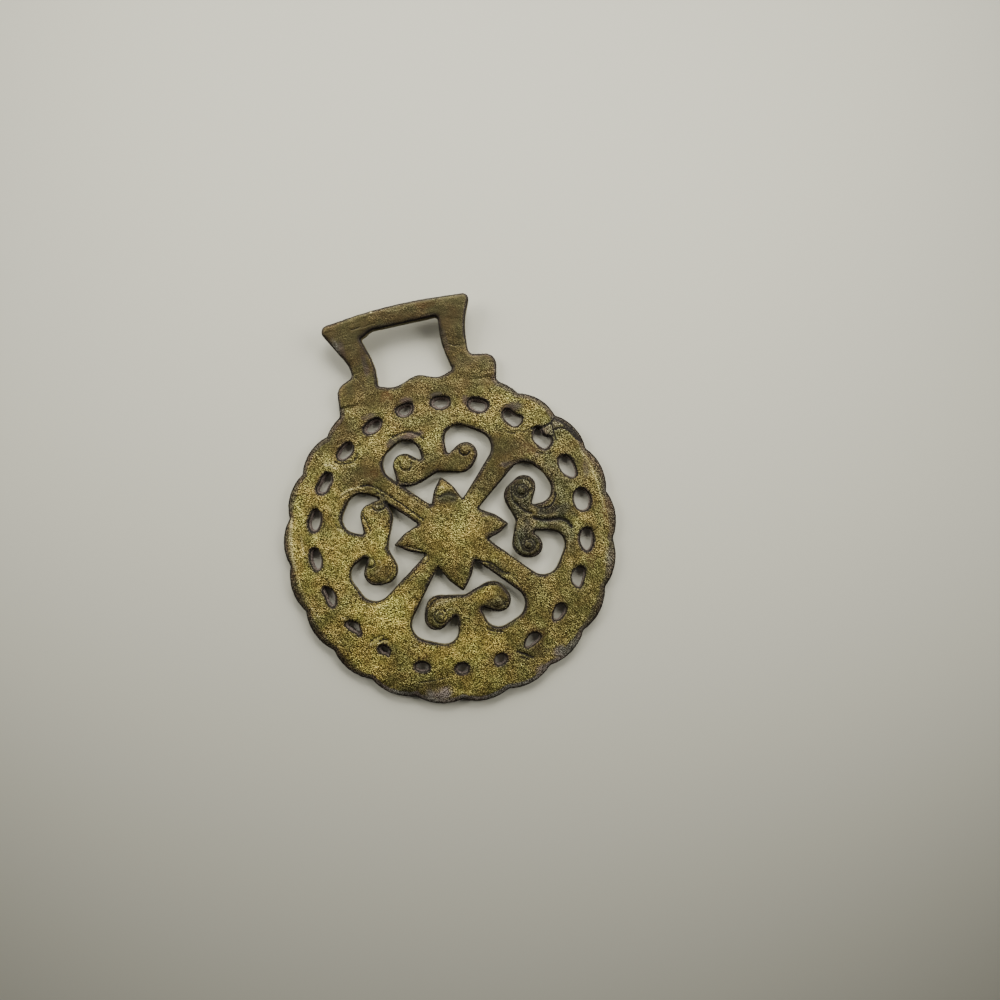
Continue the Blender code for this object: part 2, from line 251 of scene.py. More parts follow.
def step(low, high, value):
    """Goes smoothly from 0 at low to 1 at high."""
    share = np.clip((value - low) / (high - low), 0.0, 1.0)
    return share * share * (3.0 - 2.0 * share)


def nearest(points):
    """For each spot of the skin, which of some points is nearest from above, and how far it is."""
    tree = KDTree(len(points))
    for number, (x, y) in enumerate(points):
        tree.insert((x, y, 0.0), number)
    tree.balance()
    found = [tree.find((x, y, 0.0))[1:] for x, y, _ in spots]
    return np.array(found).T


def patchy(size, seed, octaves=2):
    """Cloudy noise from about -1 to 1 over the skin, with features of a size."""
    turned = Euler((0.6 + seed, 0.9, 0.4 + seed)).to_matrix()
    return np.array([noise.fractal(turned @ Vector(spot) / size, 1.0, 2.0, octaves) for spot in spots])


spots[:, :2] = strayed(spots[:, :2])
upward = step(0.2, 0.7, facing[:, 2])
radius = np.hypot(spots[:, 0], spots[:, 1])
_, to_rim = nearest(rim_outline)
_, to_hole = nearest(strayed([point for line in hole_outlines for point in line]))
_, to_opening = nearest([point for line in opening_outlines for point in line])
to_edge = np.minimum(np.minimum(to_rim, to_hole), to_opening)

# A cut line: points that a smooth curve goes through, its width, how deep it is, and how much of
# the dirt in it is left; at the base of the star's top point this darkness is painted shade. A ridge
# has a depth below zero, and its dirt says how brightly it is worn and lit, partly a painted highlight.
Line = namedtuple("Line", "points width depth dirt")

ARM_LINES = (
    Line(((-24.2, 14.6), (-21.8, 15.6), (-19.4, 15.5), (-17.6, 15.2)), 0.18, 0.12, 0.6),
    Line(((-18.6, 16.5), (-16.4, 16.3), (-14.2, 14.9), (-12.5, 13.1), (-11.0, 11.6), (-9.7, 10.3),
          (-8.4, 8.8), (-7.3, 7.6), (-6.0, 6.0), (-5.4, 5.4)), 0.26, 0.22, 1.0),
    Line(((-17.8, 15.3), (-16.2, 15.3), (-14.6, 14.2), (-13.2, 12.9), (-11.8, 11.3),
          (-10.4, 9.8)), 0.16, 0.12, 0.7),
    Line(((-12.5, 20.6), (-12.3, 18.6), (-11.5, 16.8), (-10.2, 15.3), (-8.6, 14.2)), 0.20, 0.18, 1.0),
    Line(((-8.2, 12.6), (-6.6, 11.0), (-5.0, 9.2), (-3.7, 7.9), (-2.6, 6.4)), 0.18, 0.16, 0.8),
    Line(((5.4, -7.0), (8.0, -8.1), (9.4, -9.6), (10.9, -11.2), (12.1, -11.6)), 0.30, 0.24, 1.0),
    Line(((7.6, -8.6), (9.2, -10.2), (10.8, -11.5)), 0.30, 0.14, 0.8),
    Line(((12.6, -12.4), (13.7, -14.6), (14.5, -17.0), (14.5, -18.8)), 0.24, 0.10, 0.6),
    Line(((-12.0, -8.3), (-10.8, -7.6), (-9.7, -6.8)), 0.16, 0.10, 0.7),
    Line(((-5.2, -7.1), (-6.4, -8.1), (-8.1, -9.9), (-9.8, -11.8)), 0.16, 0.14, 0.8),
    Line(((6.6, 9.0), (8.6, 10.6), (10.8, 12.4)), 0.18, 0.10, 0.6),
    Line(((9.4, 6.2), (12.4, 8.4), (15.0, 10.8), (16.6, 12.6), (18.6, 13.5)), 0.20, 0.10, 0.8),
    Line(((16.4, 13.6), (17.6, 14.2), (19.2, 14.4)), 0.40, 0.10, 0.5),
)
STAR_LINES = (
    Line(((-10.9, 0.2), (-9.7, -0.4), (-8.6, -1.0), (-7.4, -1.6)), 0.20, 0.16, 0.9),
    Line(((-12.4, 0.2), (-10.4, -0.9), (-8.4, -1.9), (-6.6, -2.7)), 0.16, 0.12, 0.9),
    Line(((-8.0, -4.9), (-7.2, -4.9), (-6.2, -4.1), (-6.1, -3.4), (-6.7, -2.8)), 0.20, 0.14, 0.9),
    # The next two lines darken the recess at the base of the star's top point: painted shade.
    Line(((-0.8, 9.9), (0.9, 10.3), (2.4, 10.0), (3.6, 9.0)), 0.50, 0.12, 0.7),
    Line(((2.2, 8.4), (3.2, 8.6), (3.9, 9.4)), 0.40, 0.10, 0.6),
    Line(((-0.7, 10.2), (0.2, 11.2), (1.6, 11.4)), 0.16, 0.08, 0.5),
    Line(((7.9, 4.4), (8.6, 4.5), (9.4, 4.0)), 0.20, 0.10, 0.8),
    Line(((9.2, 3.6), (11.0, 2.5), (12.6, 0.9)), 0.22, 0.12, 0.5),
    Line(((9.4, -1.7), (11.0, -1.1), (12.6, -0.5)), 0.22, 0.12, 0.5),
    Line(((-3.7, -7.2), (-2.7, -9.0), (-1.8, -10.7), (-0.6, -12.1)), 0.18, 0.12, 0.7),
    Line(((-3.8, -4.9), (-2.4, -4.9)), 0.16, 0.08, 0.7),
    Line(((6.6, -2.0), (7.3, -1.5), (7.6, -2.2), (6.9, -2.7)), 0.14, 0.06, 0.4),
    Line(((4.6, -5.0), (5.6, -5.3), (5.6, -6.2)), 0.16, 0.08, 0.6),
)
CURL_LINES = (
    Line(((-9.6, 21.0), (-8.4, 21.7), (-7.0, 21.8), (-5.9, 21.3), (-5.0, 20.6),
          (-4.2, 19.9)), 0.24, 0.16, 1.0),
    Line(((-9.4, 15.9), (-7.6, 15.0), (-5.2, 14.6), (-2.4, 14.8)), 0.20, 0.12, 0.8),
    Line(((-8.4, 26.3), (-6.2, 26.9), (-4.0, 26.7), (-2.2, 25.7), (-1.2, 24.4)), 0.30, 0.16, 0.9),
    Line(((-19.3, 10.2), (-19.1, 8.8), (-18.7, 7.2), (-18.3, 5.5)), 0.24, 0.20, 1.0),
    Line(((-16.7, 10.9), (-16.2, 10.2), (-15.2, 9.9), (-14.2, 10.1), (-13.5, 10.9),
          (-13.2, 11.7)), 0.26, 0.22, 1.0),
    Line(((-16.4, 11.6), (-15.4, 11.3), (-14.4, 11.4)), 0.24, 0.14, 0.9),
    Line(((-16.0, 13.4), (-15.0, 13.9), (-14.0, 13.5), (-13.5, 12.5), (-13.9, 11.7)), 0.18, 0.16, 0.9),
    Line(((-14.3, 9.4), (-13.4, 8.4), (-13.0, 7.0), (-13.3, 5.4)), 0.20, 0.08, 0.4),
    Line(((-15.0, -0.2), (-14.9, -2.8), (-15.3, -5.0), (-16.9, -6.6), (-18.9, -7.1), (-20.8, -6.4),
          (-21.9, -5.0)), 0.20, 0.14, 0.8),
    Line(((-15.9, -3.0), (-16.2, -4.6), (-17.2, -5.6)), 0.20, 0.08, 0.4),
    Line(((-25.3, -8.9), (-23.3, -11.0), (-20.6, -11.9), (-17.7, -11.3),
          (-16.1, -10.4)), 0.16, 0.10, 0.7),
    Line(((-2.0, -14.4), (-3.8, -14.0), (-6.1, -13.9), (-8.4, -15.1), (-9.6, -17.2), (-9.4, -19.3),
          (-8.1, -20.6)), 0.26, 0.18, 0.9),
    Line(((2.2, -13.9), (4.2, -13.3), (6.4, -13.2), (8.2, -13.6)), 0.24, 0.18, 1.0),
    Line(((10.3, -14.6), (11.0, -16.4), (10.8, -18.2)), 0.18, 0.10, 0.6),
    Line(((4.3, -18.0), (5.6, -18.9), (7.2, -19.6), (8.8, -19.7)), 0.22, 0.12, 0.8),
    Line(((4.0, -23.4), (5.2, -24.2), (6.4, -24.6), (7.6, -24.9)), 0.30, 0.20, 1.0),
    Line(((4.0, -24.4), (5.4, -25.1), (6.8, -25.3)), 0.24, 0.14, 0.8),
    Line(((16.8, 4.9), (17.6, 3.9), (18.3, 2.9), (19.2, 2.0), (20.3, 1.4)), 0.34, 0.28, 1.0),
    Line(((18.2, 4.3), (19.0, 3.4), (19.6, 2.7)), 0.20, 0.12, 0.8),
    Line(((16.5, 9.2), (17.5, 10.0), (18.7, 10.2), (20.2, 9.9), (21.3, 9.0), (21.8, 7.8),
          (21.3, 6.6)), 0.24, 0.18, 1.0),
    Line(((16.9, 8.6), (16.6, 7.0), (16.7, 5.4), (17.0, 4.6)), 0.24, 0.18, 1.0),
    Line(((15.2, 5.6), (15.5, 3.6), (16.2, 1.8), (16.6, 0.6)), 0.24, 0.16, 1.0),
    Line(((14.6, -3.6), (14.6, -5.4), (15.2, -7.1), (16.5, -8.2), (18.3, -8.5), (20.0, -7.9),
          (20.8, -6.5)), 0.22, 0.16, 1.0),
    Line(((15.7, -1.6), (16.0, -3.2), (16.1, -5.0), (16.6, -6.6)), 0.20, 0.12, 0.9),
    Line(((20.6, 0.2), (21.8, -0.5), (23.4, -1.0), (25.2, -1.2), (26.8, -1.4), (28.2, -2.4),
          (29.0, -3.8)), 0.46, 0.30, 1.0),
    Line(((21.7, 2.9), (22.6, 2.1), (24.0, 1.9), (25.4, 2.3), (26.4, 3.4), (27.0, 5.0)), 0.30, 0.16, 1.0),
    Line(((26.5, 11.2), (27.0, 9.4), (27.1, 7.2), (26.7, 5.4)), 0.18, 0.10, 0.8),
    Line(((15.9, 3.2), (16.8, 1.9), (18.2, 0.8), (18.8, -0.8)), 0.80, 0.04, 0.5),
    Line(((22.4, 1.2), (24.4, 0.9), (26.4, 1.4)), 0.80, 0.04, 0.65),
    Line(((18.2, -2.2), (17.6, -3.6)), 0.50, 0.04, 0.4),
)
RIM_LINES = (
    Line(((24.6, 21.1), (25.5, 21.3), (26.4, 20.9), (27.8, 21.0), (29.3, 21.5),
          (30.6, 22.4)), 0.30, 0.30, 1.0),
    Line(((29.6, 21.4), (29.8, 20.0), (29.6, 18.6), (29.9, 17.3)), 0.26, 0.22, 1.0),
    Line(((26.0, 20.5), (27.2, 19.4), (28.4, 18.5), (29.4, 18.5)), 0.24, 0.20, 1.0),
    Line(((30.2, 19.8), (31.8, 19.9), (33.4, 18.8), (34.3, 17.2), (35.2, 16.0)), 0.34, 0.22, 1.0),
    Line(((30.6, 22.4), (32.4, 20.8), (34.4, 18.3), (35.9, 15.6)), 0.45, 0.15, 0.9),
    Line(((24.4, 15.3), (26.0, 14.9), (27.6, 14.4), (29.0, 14.6)), 0.18, 0.12, 0.7),
    Line(((18.0, 22.7), (18.6, 21.8), (19.7, 21.2), (20.6, 20.9)), 0.20, 0.14, 0.9),
    Line(((21.6, 21.2), (22.8, 20.9), (24.0, 21.2)), 0.18, 0.12, 0.8),
    Line(((-23.2, 23.6), (-22.2, 22.9), (-20.8, 22.6), (-19.2, 22.6), (-18.1, 23.2),
          (-17.3, 24.4)), 0.24, 0.18, 0.9),
    Line(((-26.2, 8.9), (-25.6, 8.0), (-24.9, 7.5)), 0.24, 0.14, 0.8),
    Line(((-15.0, -32.5), (-11.8, -32.8), (-7.0, -32.8)), 0.20, 0.12, 0.8),
    Line(((9.8, -30.3), (11.2, -31.2), (13.2, -32.6)), 0.34, 0.18, 1.0),
    Line(((10.4, -31.8), (12.0, -32.8)), 0.26, 0.14, 1.0),
    Line(((-24.1, -20.4), (-22.8, -19.8), (-20.6, -19.6)), 0.24, 0.16, 0.9),
    Line(((-22.0, -20.8), (-21.0, -20.5), (-20.2, -20.8)), 0.30, 0.20, 1.0),
    Line(((-12.0, 53.0), (-11.0, 53.1), (-10.0, 53.2)), 0.20, 0.12, 0.8),
    Line(((-9.6, 52.9), (-8.0, 53.2), (-6.4, 53.3)), 0.16, 0.06, 0.5),
    Line(((9.8, 45.2), (10.8, 44.6), (12.2, 44.2)), 0.22, 0.10, 0.7),
    Line(((-13.8, 42.2), (-13.0, 41.0), (-12.6, 39.8)), 0.20, 0.08, 0.5),
)
RIDGES = (
    Line(((-23.4, 15.4), (-21.6, 16.2), (-19.8, 16.3), (-18.6, 16.7)), 0.18, -0.06, 0.81),
    Line(((-25.6, 23.4), (-24.4, 23.1), (-23.6, 22.2), (-23.0, 22.0)), 0.23, -0.05, 0.81),
    Line(((-21.4, 21.9), (-20.0, 21.7), (-18.4, 21.9)), 0.14, -0.05, 0.81),
    Line(((-24.2, 20.6), (-24.0, 19.4)), 0.13, -0.04, 0.81),
    Line(((-26.0, 7.6), (-25.4, 7.1), (-24.8, 6.7)), 0.17, -0.10, 0.9),
    Line(((-24.6, -11.2), (-22.8, -12.0), (-20.8, -12.9), (-18.2, -12.7)), 0.16, -0.04, 0.54),
    Line(((-24.4, -21.2), (-23.2, -20.8), (-22.0, -20.3)), 0.16, -0.08, 0.9),
    Line(((-22.6, -21.4), (-21.6, -21.1), (-20.2, -21.5)), 0.14, -0.08, 0.9),
    Line(((-13.9, -23.4), (-13.3, -24.1)), 0.14, -0.06, 0.9),
    Line(((-29.4, -13.3), (-28.9, -13.9)), 0.18, -0.06, 0.9),
    Line(((-2.0, -15.1), (-4.4, -14.7), (-6.4, -15.0), (-7.8, -16.2)), 0.13, -0.05, 0.72),
    Line(((-4.4, -16.9), (-3.4, -16.8), (-2.8, -17.4)), 0.14, -0.04, 0.72),
    Line(((-21.5, -4.0), (-21.1, -3.8)), 0.18, -0.05, 0.9),
    Line(((-18.1, -1.8), (-17.6, -2.4)), 0.17, -0.05, 0.9),
    Line(((-19.2, -4.4), (-18.3, -3.9), (-17.5, -3.2)), 0.13, -0.05, 0.72),
    Line(((-6.9, -3.3), (-6.8, -3.9), (-7.3, -4.3)), 0.13, -0.04, 0.81),
    Line(((-10.2, -0.4), (-9.2, -1.0), (-8.2, -1.4)), 0.13, -0.03, 0.81),
    Line(((0.6, 12.2), (0.9, 11.9)), 0.22, -0.04, 0.9),
    Line(((-11.4, -8.0), (-10.4, -7.3)), 0.13, -0.03, 0.63),
    Line(((20.2, 2.7), (20.7, 2.2), (21.2, 1.6)), 0.21, -0.05, 0.30),
    Line(((22.4, 0.4), (24.6, -0.2), (26.4, 0.0)), 0.20, -0.04, 0.27),
    Line(((24.4, -2.0), (26.4, -2.6), (27.6, -3.9), (27.9, -5.6), (27.6, -7.4),
          (27.0, -9.3)), 0.17, -0.08, 0.41),
    Line(((-36.2, 12.4), (-37.2, 9.2), (-37.9, 4.6), (-37.9, 0.4)), 0.40, -0.05, 0.60),
    Line(((-37.9, -1.0), (-37.5, -5.0), (-36.4, -9.0), (-34.8, -12.6)), 0.22, -0.05, 0.40),
    Line(((-35.0, 7.8), (-35.1, 5.6), (-35.0, 3.6)), 0.16, -0.03, 0.63),
    Line(((34.9, 14.0), (36.3, 9.9), (37.2, 5.6), (37.5, 2.0), (37.5, -1.5)), 0.16, -0.05, 0.6),
    Line(((-6.9, 56.3), (-6.6, 56.1)), 0.22, -0.04, 0.9),
    Line(((-12.2, 55.9), (-10.4, 56.1), (-8.2, 56.2)), 0.13, -0.03, 0.45),
    Line(((-3.0, 55.3), (-0.6, 55.2), (1.2, 55.3)), 0.13, -0.03, 0.36),
)


def curve_through(points):
    """Points along the smooth curve that goes through some points given in millimetres."""
    knots = [Vector(point) * MM for point in points]
    befores, afters = [knots[0]] + knots[:-1], knots[1:] + [knots[-1]]
    slopes = [(after - before) / 2.0 for before, after in zip(befores, afters)]
    curve = []
    for here, there, leaving, arriving in zip(knots, knots[1:], slopes, slopes[1:]):
        pieces = max(2, round((there - here).length / OUTLINE_STEP))
        first = (here + leaving / 3.0).to_3d()
        last = (there - arriving / 3.0).to_3d()
        curve += interpolate_bezier(here.to_3d(), first, last, there.to_3d(), pieces)
    return [point.xy for point in curve]


# The rings and spirals in the heads of the curls: the middle, the size, the bearings from which and
# to which a ring runs, how far it widens on its way, and then as for a line.
Eye = namedtuple("Eye", "centre size start end widening width depth dirt")
EYES = (
    Eye((-6.7, 19.2), 1.40, 80, 285, 0.0, 0.22, 0.18, 0.8),
    Eye((7.9, 19.7), 1.30, 120, 290, 0.0, 0.26, 0.20, 1.0),
    Eye((-20.1, -2.0), 1.10, -70, 250, 0.0, 0.26, 0.16, 0.8),
    Eye((-15.5, 6.6), 1.40, 20, 250, 0.0, 0.22, 0.08, 0.35),
    Eye((-6.3, -18.2), 0.75, 0, 360, 0.0, 0.20, 0.14, 0.9),
    Eye((-6.3, -18.2), 1.65, -60, 330, 0.0, 0.22, 0.16, 0.85),
    Eye((7.6, -17.6), 1.40, 30, 250, 0.0, 0.24, 0.08, 0.4),
    Eye((9.9, -18.7), 0.65, 0, 360, 0.0, 0.22, 0.12, 0.9),
    Eye((19.2, 7.2), 0.80, 0, 700, 1.2, 0.24, 0.16, 0.9),
    Eye((18.1, -5.8), 0.70, 0, 720, 1.3, 0.24, 0.16, 0.9),
)


def ring(eye):
    """Points along the ring or the widening spiral of an eye."""
    count = max(8, round(math.radians(eye.end - eye.start) * (eye.size + eye.widening) * MM / OUTLINE_STEP))
    points = []
    for number in range(count + 1):
        share = number / count
        angle = math.radians(eye.start + (eye.end - eye.start) * share)
        reach = eye.size + eye.widening * share
        points.append((Vector(eye.centre) + reach * Vector((math.sin(angle), math.cos(angle)))) * MM)
    return points


def drawn(strokes):
    """How far each spot is from the nearest stroke, in widths of it, with that stroke's depth and dirt."""
    points = [point for course, _ in strokes for point in course]
    kinds = np.array([(kind.width, kind.depth, kind.dirt) for course, kind in strokes for _ in course])
    which, away = nearest(points)
    width, depth, dirt = kinds[which.astype(int)].T
    return away / (width * MM), depth * MM, dirt


cut_lines = ARM_LINES + STAR_LINES + CURL_LINES + RIM_LINES
cut_strokes = [(curve_through(line.points), line) for line in cut_lines]
cut_strokes += [(ring(eye), eye) for eye in EYES]
cut_away, cut_depth, cut_dirt_and_shade = drawn(cut_strokes)
ridge_away, ridge_depth, ridge_wear_and_highlight = drawn([(curve_through(line.points), line) for line in RIDGES])

rough = patchy(6.0 * MM, 3.0)
lumpy = patchy(2.2 * MM, 11.0)
sandy = patchy(1.1 * MM, 23.0, 1)
ragged = patchy(1.4 * MM, 31.0)

scallop_slope = step(0.0, RIM_SLOPE_REACH, radius - RIM_BORDER + 0.35 * MM * ragged)
scallop_slope *= spots[:, 1] < HANGER_FOOT
moulded = step(-0.35, 0.10, rough)
moulding = moulded * np.exp(-(((to_opening - MOULDING_IN - 0.12 * MM * ragged) / MOULDING_WIDTH) ** 2))
flash_ring = np.exp(-(((to_hole - FLASH_AWAY) / FLASH_WIDTH) ** 2)) * step(-0.1, 0.4, lumpy)
shoulder = np.exp(-to_edge / SHOULDER_REACH)

lowering = RIM_SLOPE * scallop_slope + SHOULDER * shoulder
lowering += MOULDING_DEPTH * moulding + FLASH_DEPTH * flash_ring
lowering += cut_depth * np.exp(-(cut_away ** 2)) + ridge_depth * np.exp(-(ridge_away ** 2))
lowering -= SWELLS * rough + LUMPS * lumpy + SAND * sandy
spots[:, 2] -= upward * lowering

# The holes narrow towards the back, and the most so at the left and at the top.
walls = step(0.9, 0.4, np.abs(facing[:, 2]))
by_hole = step(0.9 * MM, 0.5 * MM, to_hole)
at_left = step(-14.0 * MM, -25.0 * MM, spots[:, 0])
at_top = step(26.5 * MM, 29.5 * MM, spots[:, 1])
draught = HOLE_DRAUGHT * (0.35 + 0.65 * np.maximum(0.45 * at_left, at_top))
draught *= step(1.7 * MM, 0.3 * MM, spots[:, 2])
sideways = walls * (WALL_RAGS * ragged + by_hole * (HOLE_LUMPS * lumpy + draught))
spots += facing * sideways[:, None]
spots = np.clip(spots, np.array(cad_low), np.array(cad_high))
casting.data.vertices.foreach_set("co", spots.ravel())
casting.data.shade_smooth()

# ---------------------------------------------------------------------------------------------
# The skin of the brass: dull olive gold with a sandy grain, rubbed brighter on the high places,
# with black dirt in the hollows and at the edges, and stained green-black and brown in patches.
# Painted highlights lie on the star's top point and on worn ridges, a painted sheen on the bottom of
# the rim, and painted shade along the edges, on the rim's slope and at the base of the star's top point.
# ---------------------------------------------------------------------------------------------

# A stained place, or a painted patch of light or shade: its middle, how far it reaches along X and along Y,
# and how strong it is.
Stain = namedtuple("Stain", "x y reach_x reach_y strength")

TARNISH_AND_SHADE = (
    Stain(18.2, 5.5, 5.2, 7.0, 0.95),
    Stain(18.0, -4.5, 5.0, 6.2, 1.0),
    Stain(24.5, 0.6, 6.5, 3.4, 1.0),
    # Painted shade in the recess at the base of the star's top point.
    Stain(1.6, 9.6, 2.6, 1.4, 0.7),
    Stain(27.2, -4.5, 2.4, 6.5, 0.7),
    Stain(26.4, 7.5, 5.4, 9.0, 0.68),
    Stain(-8.6, -18.4, 2.8, 4.0, 0.55),
    Stain(-6.0, -14.2, 4.0, 1.4, 0.6),
    Stain(7.8, -18.4, 3.2, 1.8, 0.5),
    Stain(-14.9, 11.6, 2.0, 2.2, 0.8),
    Stain(-5.2, 10.0, 3.0, 2.4, 0.35),
    Stain(31.0, 20.0, 5.5, 2.6, 0.6),
)
BROWNING_AND_SHADE = (
    Stain(0.0, 51.0, 30.0, 10.0, 0.75),
    Stain(0.0, 36.5, 32.0, 4.5, 0.85),
    Stain(0.0, 29.4, 9.0, 3.4, 0.5),
    Stain(10.0, 37.0, 18.0, 6.0, 0.85),
    Stain(36.5, 0.0, 3.0, 13.0, 0.3),
    Stain(8.0, 19.8, 3.4, 3.4, 1.0),
    Stain(8.0, -18.0, 3.6, 3.4, 0.8),
    Stain(15.0, -14.0, 5.0, 5.0, 0.4),
    Stain(-31.0, 27.0, 5.0, 6.0, 0.35),
    Stain(-14.0, 37.0, 8.0, 5.0, 0.45),
    Stain(-22.0, 30.5, 8.0, 4.5, 1.0),
    Stain(34.0, 13.0, 4.0, 9.0, 0.6),
    Stain(28.0, -22.0, 6.0, 8.0, 0.15),
    Stain(-18.8, -5.2, 3.2, 3.0, 0.55),
    Stain(11.0, 0.6, 3.0, 2.6, 0.6),
    Stain(0.0, 17.5, 12.0, 5.0, 0.8),
    Stain(-17.0, 18.5, 7.0, 4.5, 0.9),
    Stain(17.5, 17.0, 9.0, 6.0, 1.0),
    Stain(13.0, 11.5, 7.0, 6.0, 1.0),
    Stain(-12.5, 12.5, 6.0, 6.0, 0.5),
    # Painted shade in the recess at the base of the star's top point.
    Stain(1.5, 9.4, 3.4, 1.9, 1.0),
    Stain(9.0, -9.6, 3.4, 2.2, 0.9),
    Stain(21.3, 26.8, 3.0, 2.0, 1.0),
    Stain(-14.0, -34.5, 8.0, 2.2, 0.8),
    Stain(13.0, -30.5, 4.0, 3.0, 0.8),
    Stain(-11.0, 1.0, 3.4, 2.0, 0.5),
    Stain(0.0, -9.6, 3.4, 3.0, 0.25),
)
# Places rubbed lighter; the one on the star's top point is a painted highlight.
RUBBING_AND_HIGHLIGHTS = (
    Stain(1.0, -1.2, 7.0, 5.0, 0.38),
    Stain(-35.0, 5.0, 5.0, 13.0, 0.65),
    Stain(-33.0, -14.0, 4.0, 6.0, 0.15),
    Stain(-26.0, -25.0, 6.0, 5.0, 0.8),
    Stain(-4.0, -35.0, 11.0, 3.0, 0.6),
    Stain(-28.0, 17.0, 6.0, 6.0, 0.45),
    Stain(-26.0, 1.0, 6.0, 9.0, 0.65),
    Stain(-17.2, 6.0, 2.2, 3.0, 0.35),
    Stain(-16.8, 1.2, 4.0, 4.2, 0.95),
    Stain(-20.0, -16.0, 10.0, 8.0, 1.0),
    Stain(-3.0, -27.0, 13.0, 4.5, 0.9),
    Stain(5.5, -15.2, 3.0, 2.2, 0.7),
    Stain(-10.5, 53.8, 6.0, 2.0, 0.4),
    Stain(10.0, -8.8, 2.4, 3.0, 0.5),
    Stain(-8.5, 19.0, 1.6, 3.0, 0.5),
    # Painted highlight on the raised top point of the star.
    Stain(0.9, 12.4, 1.5, 1.5, 0.5),
)
# Grey crust; on the bottom of the rim the grey is also a painted sheen, a reflection on the slope.
GREY_CRUST_AND_SHEEN = (
    Stain(-10.6, -36.4, 3.6, 1.6, 1.0),
    Stain(20.0, -32.6, 2.6, 1.2, 0.8),
    Stain(15.3, -35.7, 2.6, 1.0, 0.7),
    Stain(27.4, 20.2, 2.0, 1.2, 0.35),
    Stain(31.0, 21.4, 1.4, 1.6, 0.35),
    Stain(17.6, 14.3, 2.0, 0.9, 0.3),
    Stain(36.2, -13.4, 1.2, 2.4, 0.45),
    Stain(-16.6, 49.6, 1.0, 2.4, 0.8),
)
RUST = (
    Stain(38.2, -2.4, 1.6, 3.2, 0.7),
    Stain(22.2, 16.4, 2.2, 1.8, 0.4),
    Stain(-15.4, 18.1, 1.6, 2.2, 0.5),
    Stain(-31.0, 19.0, 1.8, 1.8, 0.5),
    Stain(-0.1, -4.0, 1.6, 1.4, 0.45),
    Stain(31.9, -12.0, 1.4, 2.0, 0.7),
    Stain(15.5, -26.6, 2.4, 1.4, 0.7),
    Stain(-12.8, -27.6, 2.0, 1.2, 0.6),
    Stain(7.1, 55.0, 2.5, 0.8, 0.6),
    Stain(-7.4, 36.2, 1.4, 1.2, 0.6),
    Stain(-9.0, -5.6, 1.6, 1.2, 0.4),
    Stain(8.0, -31.0, 1.6, 1.2, 0.6),
)
BRUISES = (
    Stain(3.7, 34.1, 1.9, 0.7, 0.8),
    Stain(-3.4, 34.4, 1.8, 0.9, 0.8),
    Stain(-12.6, 32.4, 1.8, 0.8, 0.6),
    Stain(10.6, 31.4, 0.8, 1.4, 0.7),
    Stain(-4.2, 25.8, 3.6, 0.8, 0.9),
    Stain(-8.8, 25.0, 1.4, 1.4, 0.8),
    Stain(21.0, 27.4, 2.6, 1.2, 0.8),
    Stain(35.4, 9.4, 0.9, 2.6, 0.5),
    Stain(-15.6, 48.4, 0.8, 3.0, 0.7),
    Stain(-10.9, 44.6, 0.7, 3.6, 0.8),
    Stain(9.0, 46.0, 0.7, 3.0, 0.5),
    Stain(17.0, 14.2, 1.5, 0.7, 0.7),
    Stain(9.6, 3.4, 1.8, 0.5, 0.8),
    Stain(10.4, -1.3, 1.8, 0.5, 0.8),
    Stain(-9.6, -1.6, 1.8, 0.5, 0.8),
    Stain(19.9, -32.2, 2.6, 1.4, 0.7),
    Stain(15.0, -35.2, 2.6, 1.2, 0.7),
)


def stained(stains, raggedness=0.35):
    """How strongly each spot of the skin is stained, from 0 to 1, with ragged borders."""
    most = np.zeros(len(spots))
    for stain in stains:
        across = (spots[:, 0] / MM - stain.x) / stain.reach_x
        along = (spots[:, 1] / MM - stain.y) / stain.reach_y
        away = np.hypot(across, along) + raggedness * lumpy
        most = np.maximum(most, stain.strength * step(1.35, 0.45, away))
    return most


# Distances are kept as shares of these, so that the material can draw crisp lines by them.
EDGE_KEPT = 2.0 * MM
WIDTHS_KEPT = 3.0

on_wall = step(0.45, 0.15, facing[:, 2])
lowermost = step(-26.0 * MM, -33.0 * MM, spots[:, 1])

# A dark band along the rim, which takes in the whole of each scallop at the left and the right; it is partly
# patina and partly painted shade on the rim's slope.
band_width = (1.35 - 0.15 * lowermost) * MM
rim_band_patina_and_shade = step(0.2 * MM, -0.2 * MM, to_rim - band_width + 0.25 * MM * ragged)
rim_band_patina_and_shade *= spots[:, 1] < HANGER_FOOT
scalloped = step(0.1 * MM, 0.6 * MM, radius - RIM_BORDER + 0.2 * MM * ragged)
scalloped *= np.maximum(step(14.0 * MM, 24.0 * MM, spots[:, 0]), step(-24.0 * MM, -32.0 * MM, spots[:, 0]))
rim_band_patina_and_shade = np.maximum(rim_band_patina_and_shade, 0.85 * scalloped)
hollow_dirt = np.maximum(0.8 * moulding, 0.5 * flash_ring)


def keep(name, values):
    """Keeps a value for each vertex of the casting, for its material."""
    attribute = casting.data.attributes.new(name, "FLOAT", "POINT")
    attribute.data.foreach_set("value", np.clip(values, 0.0, 1.0).astype(np.float32))


keep("edge_away", (to_edge + 0.06 * MM * lowermost) / EDGE_KEPT)
keep("cut_away", cut_away / WIDTHS_KEPT)
keep("cut_dirt_and_shade", cut_dirt_and_shade)
keep("hollow_dirt", hollow_dirt)
keep("moulded", moulded)
keep("on_wall", on_wall)
keep("by_hole", by_hole)
keep("rim_band_patina_and_shade", rim_band_patina_and_shade)
keep("hanger", step(37.0 * MM, 41.0 * MM, spots[:, 1]))
keep("ridge_wear_and_highlight", ridge_wear_and_highlight * np.exp(-(ridge_away ** 2)))
keep("tarnish_and_shade", stained(TARNISH_AND_SHADE))
keep("browning_and_shade", stained(BROWNING_AND_SHADE))
keep("rubbing_and_highlights", stained(RUBBING_AND_HIGHLIGHTS))
